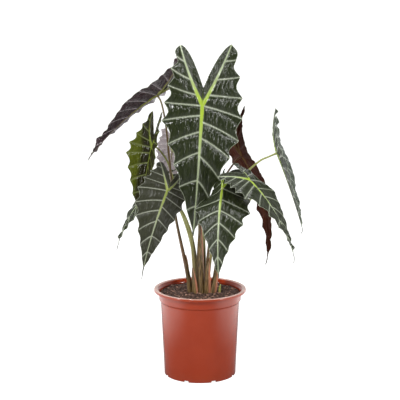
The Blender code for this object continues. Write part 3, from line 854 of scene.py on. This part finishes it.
# %% One blade as a sheet of grids
def lay_patch(bm, pose, seed, sign, outer):
    """Lays one grid between the ribs and a margin: sign is the half, outer its outer or inner margin."""
    half = pose.halves[0] if sign > 0 else pose.halves[1]
    columns = COLUMNS if outer else BACK_COLUMNS
    rows = OUTER_ROWS if outer else INNER_ROWS
    ribs = bm.verts.layers.float_vector["ribs"]
    run = bm.verts.layers.float_vector["run"]
    lobe_line = Vector(TEETH[half][0]).normalized()

    def carry(vert, column, row):
        r = columns[column]
        share = row / rows
        t = mix(share, share * share, 0.5)
        point = sheet_point(r, t, half, outer)
        root = Vector(rib_point(r, half))
        edge = Vector(sheet_point(r, 1.0, half, outer))
        rib = abs(point[0]) if r >= 0 else abs((Vector(point) - root).cross(lobe_line))
        vein = vein_distance(r, t, half, point) if outer and r <= 1 else NO_VEIN
        across = (edge - root).length * GROWN_MIDRIB
        rib, vein = rib * GROWN_MIDRIB, vein * GROWN_MIDRIB
        run_x, run_y = sign * t * across, (r if r > 0 else r * 0.8) * GROWN_MIDRIB
        height = relief(rib, vein, run_x, run_y, seed) * smooth_step(across / NARROW)
        ruffle = 0.5 - 0.5 * math.cos(math.tau * vein_index(r, half))
        ruffle *= noise.noise((vein_index(r, half) * 0.8, seed * 3.3, sign * 2.0)) * 2 + 0.35
        height /= pose.scale
        if outer and r < 0.9:
            height += pose.wave * ruffle * t ** 4
        vert.co = pose.place(sign * point[0], point[1], height)
        vert[ribs] = (rib, vein, (1 - t) * across)
        vert[run] = (run_x, run_y, t)

    verts = mapped_grid(bm, len(columns) - 1, rows, carry)
    if (sign > 0) == outer:
        bmesh.ops.reverse_faces(bm, faces=list({face for vert in verts for face in vert.link_faces}))


BLADE_DEPTH = 0.45                # millimetres, as the four below
RIB_DEPTH, RIB_WIDTH = 1.9, 1.5
VEIN_DEPTH, VEIN_WIDTH = 0.7, 0.9


def blade(pose, seed):
    """The blade as a closed skin: the sheet on top, and below it the ribs that stand out."""
    bm = new_skin()
    ribs = bm.verts.layers.float_vector["ribs"]
    run = bm.verts.layers.float_vector["run"]
    for sign in (1, -1):
        lay_patch(bm, pose, seed, sign, True)
        lay_patch(bm, pose, seed, sign, False)
    close_up(bm)

    def depth(vert):
        rib, vein = vert[ribs][:2]
        taper = 1 - 0.8 * min(1.0, abs(vert[run].y) / GROWN_MIDRIB)
        across = 1 - 0.6 * vert[run].z
        if vert[run].y > GROWN_MIDRIB:
            return THREAD_DEPTH
        veins = RIB_DEPTH * taper * bell(rib, RIB_WIDTH * MM)
        veins += VEIN_DEPTH * across * bell(vein, VEIN_WIDTH * MM)
        return (BLADE_DEPTH + veins / pose.scale) * MM

    thicken(bm, depth)
    return bm


# %% [markdown]
# ## Leaf finishes
# The upper side is a dark green that is nearly grey, with a waxy gloss. The ribs are a bright lime near
# the stalk and paler further out, and each side vein has a pale core with a feathery edge. The lower
# side of most leaves is plum, and the same veins show there. A thin leaf also lets some light through,
# so each finish mixes a little of a translucent shader with the glossy one.

# %% A leaf finish from a few colours
def leaf_finish(name, dark, light, vein, rib, lime, edge, shine=0.18, through=(0.10, 0.16, 0.02),
                share=0.10, crease=0.30, gloss=0.5, shaded=None, reach=32):
    """Finish of one side of a blade. The colours are for the skin, the veins, the ribs and the margin.

    A shaded colour covers one half of the leaf and, on the other, the skin beside the rib, up to reach
    millimetres from it.
    """
    mat, nodes, shader = new_material(name)
    rib_gap, vein_gap, edge_gap = nodes.split(nodes.attribute("ribs"))[0:3]
    run = nodes.attribute("run")
    run_x, run_y, out = nodes.split(run)[0:3]
    along = nodes.math("ABSOLUTE", run_y)
    skin = clouded(nodes, run, 60.0, dark, light)
    fine = nodes.noise(nodes.stretch(run, (620, 190, 0)), 1.0, 3.0)
    colour = nodes.blend(nodes.remap(fine, 0.54, 0.74, 0.0, 0.55), skin, light)
    if shaded:
        near_rib = nodes.remap(rib_gap, reach * 0.55 * MM, reach * MM, 0.92, 0.0)
        other_half = nodes.remap(run_x, -2 * MM, 0.0, 0.92, 0.0)
        colour = nodes.blend(nodes.math("MAXIMUM", near_rib, other_half), colour, shaded)
    side_vein = nodes.group(band, {
        "Distance": vein_gap, "Width": nodes.remap(out, 0.0, 1.0, 0.95 * MM, 0.35 * MM), "Fade": 0.6 * MM,
        "Ragged": 1.8 * MM, "Pattern": nodes.stretch(run, (560, 150, 0))})
    main_rib = nodes.group(band, {
        "Distance": rib_gap, "Width": nodes.remap(along, -0.05, 0.20, 3.0 * MM, 0.6 * MM),
        "Fade": 0.5 * MM, "Ragged": 0.7 * MM, "Pattern": nodes.stretch(run, (150, 420, 0))})
    colour = nodes.blend(nodes.math("MULTIPLY", side_vein["Halo"], 0.22), colour, vein)
    colour = nodes.blend(nodes.math("MULTIPLY", side_vein["Core"], 0.85), colour, vein)
    rib_colour = nodes.blend(nodes.remap(along, 0.01, 0.11, 1.0, 0.0), rib, lime)
    colour = nodes.blend(nodes.math("MULTIPLY", main_rib["Halo"], 0.18), colour, vein)
    on_blade = nodes.remap(along, GROWN_MIDRIB - 0.012, GROWN_MIDRIB - 0.001, 1.0, 0.0)
    colour = nodes.blend(nodes.math("MULTIPLY", main_rib["Core"], on_blade), colour, rib_colour)
    border = nodes.remap(edge_gap, 0.3 * MM, 1.1 * MM, 0.85, 0.0)
    colour = nodes.blend(nodes.math("MULTIPLY", border, on_blade), colour, edge)
    creases = nodes.group(crumple, {"Pattern": nodes.stretch(run, (1.0, 0.42, 0.0)), "Scale": 200.0,
                                    "Fine": 0.15})
    flat = nodes.math("SUBTRACT", 1.0, main_rib["Core"])
    height = nodes.math("MULTIPLY", creases["Height"], flat)
    height = nodes.math("ADD", height, nodes.math("MULTIPLY", side_vein["Core"], 0.4))
    normal = nodes.bump(height, crease, 0.0030)
    roughness = nodes.remap(fine, 0.3, 0.7, shine - 0.03, shine + 0.05)
    nodes.fill(shader, {"Base Color": colour, "Roughness": roughness, "Normal": normal,
                        "Specular IOR Level": gloss})
    glow = nodes.add("ShaderNodeBsdfTranslucent",
                     {"Color": nodes.blend(0.5, colour, through), "Normal": normal})
    both = nodes.add("ShaderNodeMixShader", {0: share, 1: shader.outputs[0], 2: glow.outputs[0]})
    nodes.fill(mat.node_tree.nodes["Material Output"], {"Surface": both.outputs[0]})
    print(name, len(mat.node_tree.nodes), "nodes")
    return mat


# %% The finishes that the leaves use
GREEN_FACE = leaf_finish(
    "leaf_face", dark=(0.008, 0.013, 0.003), light=(0.032, 0.041, 0.014), vein=(0.42, 0.46, 0.34),
    rib=(0.43, 0.50, 0.30), lime=(0.38, 0.52, 0.05), edge=(0.34, 0.38, 0.27))
MATT_FACE = leaf_finish(
    "leaf_face_matt", dark=(0.021, 0.023, 0.011), light=(0.046, 0.048, 0.027), vein=(0.36, 0.38, 0.30),
    rib=(0.35, 0.39, 0.25), lime=(0.32, 0.38, 0.08), edge=(0.38, 0.40, 0.31), shine=0.36, crease=0.15,
    gloss=0.35)
SILVER_FACE = leaf_finish(
    "leaf_face_silver", dark=(0.026, 0.036, 0.022), light=(0.085, 0.105, 0.075),
    vein=(0.46, 0.50, 0.42), rib=(0.38, 0.46, 0.26), lime=(0.36, 0.48, 0.12), edge=(0.36, 0.42, 0.30),
    shine=0.26)
# Painted light: the bright olive skin stands for light shining through the leaf from behind, on top of its
# real translucent share. Its shaded colour is painted shade: the shadow of the front leaf beside the rib,
# and the dark half that is turned edge-on.
PAINTED_BACKLIT_FACE = leaf_finish(
    "leaf_face_backlit", dark=(0.080, 0.100, 0.005), light=(0.150, 0.180, 0.011),
    vein=(0.30, 0.35, 0.12), rib=(0.24, 0.26, 0.07), lime=(0.28, 0.36, 0.05), edge=(0.20, 0.26, 0.06),
    through=(0.38, 0.50, 0.01), share=0.30, shaded=(0.018, 0.014, 0.006))
PLUM_BACK = leaf_finish(
    "leaf_back", dark=(0.022, 0.008, 0.011), light=(0.082, 0.046, 0.055), vein=(0.24, 0.18, 0.20),
    rib=(0.17, 0.13, 0.06), lime=(0.28, 0.30, 0.04), edge=(0.11, 0.07, 0.08),
    through=(0.10, 0.05, 0.02), share=0.05, crease=0.6)
# Painted highlight: the pale streak colour on one half stands for glints on the lower side seen at a
# grazing angle, mixed with its pale veins. The other half and a thin strip by the rib keep a plain dark
# plum.
VEINS_AND_GLINTS_BACK = leaf_finish(
    "leaf_back_streaked", dark=(0.030, 0.014, 0.018), light=(0.460, 0.410, 0.430),
    vein=(0.42, 0.36, 0.38), rib=(0.17, 0.13, 0.06), lime=(0.28, 0.30, 0.04), edge=(0.24, 0.20, 0.21),
    through=(0.10, 0.05, 0.02), share=0.05, crease=0.6, shaded=(0.034, 0.013, 0.017), reach=3)
SILVER_BACK = leaf_finish(
    "leaf_back_silver", dark=(0.026, 0.034, 0.022), light=(0.080, 0.095, 0.070),
    vein=(0.42, 0.45, 0.36), rib=(0.30, 0.34, 0.20), lime=(0.32, 0.42, 0.10), edge=(0.30, 0.34, 0.24),
    shine=0.28)
RED_BACK = leaf_finish(
    "leaf_back_red", dark=(0.042, 0.011, 0.006), light=(0.068, 0.019, 0.010),
    vein=(0.070, 0.024, 0.014), rib=(0.060, 0.026, 0.014), lime=(0.12, 0.07, 0.03),
    edge=(0.07, 0.026, 0.02), shine=0.60, through=(0.16, 0.03, 0.02), share=0.03, crease=0.2,
    gloss=0.02)
# Partly painted light: the pale pink lower side is its own colour, brightened to stand for light that
# shines through the leaf from behind.
PINK_AND_GLOW_BACK = leaf_finish(
    "leaf_back_pale", dark=(0.300, 0.240, 0.260), light=(0.620, 0.560, 0.580), vein=(0.80, 0.76, 0.76),
    rib=(0.30, 0.22, 0.22), lime=(0.22, 0.18, 0.06), edge=(0.24, 0.16, 0.18), shine=0.30,
    through=(0.20, 0.10, 0.08), share=0.08)

FINISHES = {4: (SILVER_FACE, SILVER_BACK), 5: (GREEN_FACE, RED_BACK), 6: (GREEN_FACE, VEINS_AND_GLINTS_BACK),
            7: (PAINTED_BACKLIT_FACE, PLUM_BACK), 8: (MATT_FACE, PLUM_BACK), 10: (GREEN_FACE, PINK_AND_GLOW_BACK)}

# %% Make the ten blades
for number, pose in enumerate(POSES, 1):
    face, back = FINISHES.get(number, (GREEN_FACE, PLUM_BACK))
    finish_piece("leaf_%02d" % number, blade(pose, number * 1.7), [face, back],
                 ["leaf_%02d_blade" % number])

# %% [markdown]
# ## The stalks
# A stalk is a fleshy tube that tapers from its foot to the blade. It follows the frame's route on one
# smooth curve, turns into the leaf's back and widens a little there, where it parts into the three
# ribs. A tube is a grid rolled round the route. Each ring's frame is turned from the last one, so that
# the tube doesn't twist.

# %% The route of a stalk
STALK_FOOT_Z = 140.6
STALK_REACH = 14.0
STALK_RINGS = 72
STALK_SIDES = 14
STALK_FOOT_RADIUS = 4.1
STALK_WAIST_RADIUS = 2.4
STALK_TOP_RADIUS = 1.5
STALK_FLARE = 0.7
WAIST_AT = 0.45
FLARE_AT = 0.975


def smooth_route(knots, count):
    """Evenly spread points on a smooth curve through the knots."""
    padded = [knots[0] * 2 - knots[1]] + knots + [knots[-1] * 2 - knots[-2]]
    dense = []
    for a, b, c, d in zip(padded, padded[1:], padded[2:], padded[3:]):
        for k in range(20):
            t = k / 20
            dense.append(0.5 * (2 * b + (c - a) * t + (2 * a - 5 * b + 4 * c - d) * t * t
                                + (3 * b - a - 3 * c + d) * t * t * t))
    dense.append(knots[-1])
    run = [0.0]
    for a, b in zip(dense, dense[1:]):
        run.append(run[-1] + (b - a).length)
    points = []
    k = 0
    for n in range(count):
        goal = run[-1] * n / (count - 1)
        while k < len(run) - 2 and run[k + 1] < goal:
            k += 1
        points.append(dense[k].lerp(dense[k + 1], (goal - run[k]) / (run[k + 1] - run[k])))
    return points


def stalk_knots(leaf, pose):
    """The places that the stalk passes, from the rhizome to the blade's back."""
    up = pose.frame(0.0)[2]
    x, y = leaf["base"]
    knots = [Vector((x, y, STALK_FOOT_Z)) * MM, Vector((x, y, STALK_FOOT_Z + 16)) * MM]
    knots += [Vector(place) * MM for place in leaf["route"]]
    return knots + [pose.joint - up * (STALK_REACH + 3) * MM, pose.joint - up * 0.7 * MM]


def frames_along(points):
    """(place, side, front) at each point, turned as little as possible from one to the next."""
    frames = []
    side, front = Vector((1, 0, 0)), Vector((0, 1, 0))
    heading = Vector((0, 0, 1))
    for n, point in enumerate(points):
        ahead = (points[min(n + 1, len(points) - 1)] - points[max(n - 1, 0)]).normalized()
        turn = heading.rotation_difference(ahead)
        side, front, heading = turn @ side, turn @ front, ahead
        frames.append((point, side, front))
    return frames


# %% Stalk tubes
def stalk_radius(s):
    """Stalk radius in millimetres at share s of its length, with the flare into the blade."""
    if s < WAIST_AT:
        return mix(STALK_FOOT_RADIUS, STALK_WAIST_RADIUS, smooth_step(s / WAIST_AT))
    slim = mix(STALK_WAIST_RADIUS, STALK_TOP_RADIUS, (s - WAIST_AT) / (1 - WAIST_AT))
    return slim + STALK_FLARE * smooth_step((s - FLARE_AT) / (1 - FLARE_AT))


def stalk(frames, brown):
    """A closed tube round the stalk's route. Its run attribute holds (0, height, share of brown)."""
    bm = new_skin()
    run = bm.verts.layers.float_vector["run"]
    last = len(frames) - 1

    def carry(vert, column, row):
        place, side, front = frames[row]
        angle = math.tau * column / STALK_SIDES
        ridge = 1 + 0.05 * math.cos(5 * angle)
        out = side * math.cos(angle) + front * math.sin(angle)
        vert.co = place + out * stalk_radius(row / last) * ridge * MM
        vert[run] = (0, place.z, mix(brown[0], brown[1], row / last))

    mapped_grid(bm, STALK_SIDES, last, carry)
    close_tube(bm)
    return bm


# %% Finish of the stalks
stalk_mat, nodes, shader = new_material("leaf_stalk")
height, brown = nodes.split(nodes.attribute("run"))[1:3]
fibre = nodes.noise(nodes.stretch(nodes.place(), (900, 900, 25)), 1.0, 3.0)
green = nodes.blend(nodes.remap(height, 0.15, 0.29), (0.140, 0.115, 0.030), (0.380, 0.420, 0.110))
earthy = nodes.blend(nodes.remap(fibre, 0.35, 0.65), (0.100, 0.046, 0.026), (0.170, 0.090, 0.042))
colour = nodes.blend(brown, green, earthy)
colour = nodes.blend(nodes.remap(fibre, 0.45, 0.75, 0.0, 0.45), colour, (0.060, 0.040, 0.014))
nodes.fill(shader, {"Base Color": colour, "Roughness": nodes.remap(fibre, 0.3, 0.7, 0.30, 0.45),
                    "Normal": nodes.bump(fibre, 0.35, 0.0006)})

STALKS = []
for number, (leaf, pose) in enumerate(zip(LEAVES, POSES), 1):
    STALKS.append(frames_along(smooth_route(stalk_knots(leaf, pose), STALK_RINGS)))
    finish_piece("stalk_%02d" % number, stalk(STALKS[-1], leaf.get("brown", (0.75, 0.0))), [stalk_mat],
                 ["leaf_%02d_stalk" % number])

# %% [markdown]
# ## Sheaths
# The foot of each stalk is clasped by a thin sheath, the dry remains of the wrap it grew out of. It is
# widest in the soil, narrows to a point up the stalk and its edges curl outwards. One edge is still
# pinkish and fresh.

# %% Sheath membranes
SHEATH_COLUMNS = 16
SHEATH_ROWS = 26
SHEATH_DEPTH = 0.3 * MM


def sheath(frames, start, end, wrap, turn, flare, loose):
    """A membrane round one stalk between two shares of its length, loose millimetres away from it."""
    bm = new_skin()
    run = bm.verts.layers.float_vector["run"]
    last = len(frames) - 1

    def carry(vert, column, row):
        rise = row / SHEATH_ROWS
        across = column / SHEATH_COLUMNS * 2 - 1
        s = mix(start, end, rise)
        k = min(int(s * last), last - 1)
        place = frames[k][0].lerp(frames[k + 1][0], s * last - k)
        side, front = frames[k][1:]
        open_angle = math.radians(wrap) / 2 * (1 - 0.9 * rise ** 1.6)
        angle = math.radians(turn) + open_angle * across
        curl = flare * abs(across) ** 4 * (0.4 + 0.6 * rise)
        crinkle = 0.3 * noise.noise((across * 3, rise * 9, turn))
        room = 0.5 + loose * math.sin(math.pi * min(1.0, rise + 0.15)) * (1 - rise)
        radius = (stalk_radius(s) + room + curl + crinkle) * MM
        vert.co = place + (side * math.cos(angle) + front * math.sin(angle)) * radius
        vert[run] = (across, 0, 0)

    mapped_grid(bm, SHEATH_COLUMNS, SHEATH_ROWS, carry)
    thicken(bm, lambda vert: SHEATH_DEPTH)
    return bm


sheath_mat, nodes, shader = new_material("dry_sheath")
across = nodes.split(nodes.attribute("run"))[0]
fibre = nodes.noise(nodes.stretch(nodes.place(), (700, 700, 40)), 1.0, 4.0)
colour = nodes.blend(nodes.remap(fibre, 0.35, 0.65), (0.050, 0.030, 0.012), (0.235, 0.150, 0.052))
border = nodes.remap(across, 0.40, 0.75)
colour = nodes.blend(nodes.math("MULTIPLY", border, 0.9), colour, (0.480, 0.190, 0.110))
nodes.fill(shader, {"Base Color": colour, "Roughness": 0.5, "Normal": nodes.bump(fibre, 0.5, 0.0005)})

SHEATHS = (
    dict(stalk=1, start=0.03, end=0.40, wrap=250, turn=-70, flare=2.4, loose=2.6, node="sheath_1"),
    dict(stalk=3, start=0.04, end=0.24, wrap=190, turn=-110, flare=2.2, node="sheath_2"),
    dict(stalk=6, start=0.03, end=0.22, wrap=230, turn=-30, flare=1.5),
    dict(stalk=8, start=0.05, end=0.26, wrap=200, turn=-120, flare=1.2),
    dict(stalk=2, start=0.05, end=0.33, wrap=240, turn=-130, flare=2.6, loose=2.0),
    dict(stalk=4, start=0.04, end=0.20, wrap=200, turn=-70, flare=1.5),
    dict(stalk=5, start=0.04, end=0.30, wrap=200, turn=60, flare=1.5),
    dict(stalk=7, start=0.04, end=0.30, wrap=200, turn=150, flare=1.3),
    dict(stalk=9, start=0.04, end=0.24, wrap=200, turn=100, flare=1.3),
    dict(stalk=10, start=0.04, end=0.28, wrap=200, turn=80, flare=1.3),
)
for wrapper in SHEATHS:
    skin = sheath(STALKS[wrapper["stalk"] - 1], wrapper["start"], wrapper["end"], wrapper["wrap"],
                  wrapper["turn"], wrapper["flare"], wrapper.get("loose", 1.2))
    finish_piece("sheath_on_stalk_%02d" % wrapper["stalk"], skin, [sheath_mat, sheath_mat],
                 [wrapper["node"]] if "node" in wrapper else [])

# %% [markdown]
# ## The new shoot
# The next leaf starts as a small rolled spike beside the others. It is a short tube on a curve, drawn
# to a point.

# %% Shoot
SHOOT_RINGS = 24
SHOOT_SIDES = 16
SHOOT_RADIUS = 2.6
SHOOT_KNOTS = ((36, -8, 150), (36, -8, 158), (36.6, -8.5, 166), (38, -9, 171))
shoot_route = smooth_route([Vector(knot) * MM for knot in SHOOT_KNOTS], SHOOT_RINGS + 1)
shoot_frames = frames_along(shoot_route)
shoot_bm = new_skin()
shoot_run = shoot_bm.verts.layers.float_vector["run"]


def carry_shoot(vert, column, row):
    place, side, front = shoot_frames[row]
    share = row / SHOOT_RINGS
    angle = math.tau * column / SHOOT_SIDES
    lap = 1 + 0.10 * ((column / SHOOT_SIDES + share * 0.6) % 1.0)
    radius = SHOOT_RADIUS * math.sqrt(max(0.0, 1 - share ** 2.2)) * lap * MM
    vert.co = place + (side * math.cos(angle) + front * math.sin(angle)) * radius
    vert[shoot_run] = (0, share, 0)


mapped_grid(shoot_bm, SHOOT_SIDES, SHOOT_RINGS, carry_shoot)
close_tube(shoot_bm)
shoot_mat, nodes, shader = new_material("fresh_shoot")
share = nodes.split(nodes.attribute("run"))[1]
streaks = nodes.noise(nodes.stretch(nodes.place(), (900, 900, 60)), 1.0, 3.0)
colour = nodes.blend(nodes.remap(share, 0.1, 0.8), (0.330, 0.210, 0.080), (0.360, 0.430, 0.110))
colour = nodes.blend(nodes.remap(streaks, 0.4, 0.7, 0.0, 0.4), colour, (0.160, 0.180, 0.040))
nodes.fill(shader, {"Base Color": colour, "Roughness": 0.4})
finish_piece("shoot", shoot_bm, [shoot_mat], ["new_shoot"])
